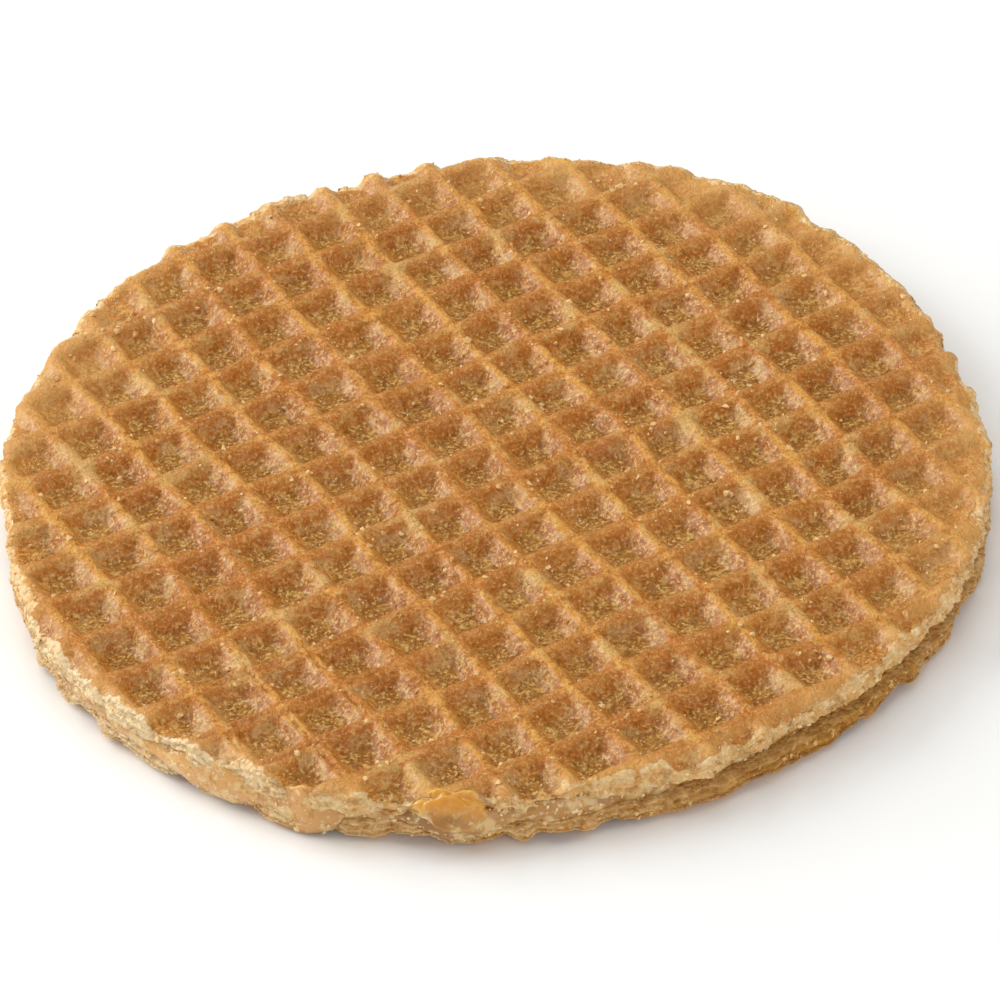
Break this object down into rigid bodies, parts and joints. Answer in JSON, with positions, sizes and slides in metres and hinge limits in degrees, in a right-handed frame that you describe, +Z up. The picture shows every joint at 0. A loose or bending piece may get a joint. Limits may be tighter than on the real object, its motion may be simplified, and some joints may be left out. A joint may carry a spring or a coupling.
{
  "type": "stroopwafel",
  "caption": "Round caramel waffle biscuit: two thin wafers with a grid of square pits on their outer faces and a layer of syrup between them.",
  "frame": {"origin": "middle of the bounding box at its base, on the plane of the bottom wafer's ridges that the biscuit rests on", "axes": "+Z up through the biscuit's thickness, from the bottom wafer to the top wafer; the rows of pits run 28.7 degrees from +X"},
  "size_m": [0.0984, 0.1028, 0.0066],
  "materials": {
    "baked_wafer": null,
    "caramel_syrup": null
  },
  "bodies": {
    "root": {"bottom_wafer": "baked_wafer", "syrup_filling": "caramel_syrup", "top_wafer": "baked_wafer"}
  },
  "joints": []
}
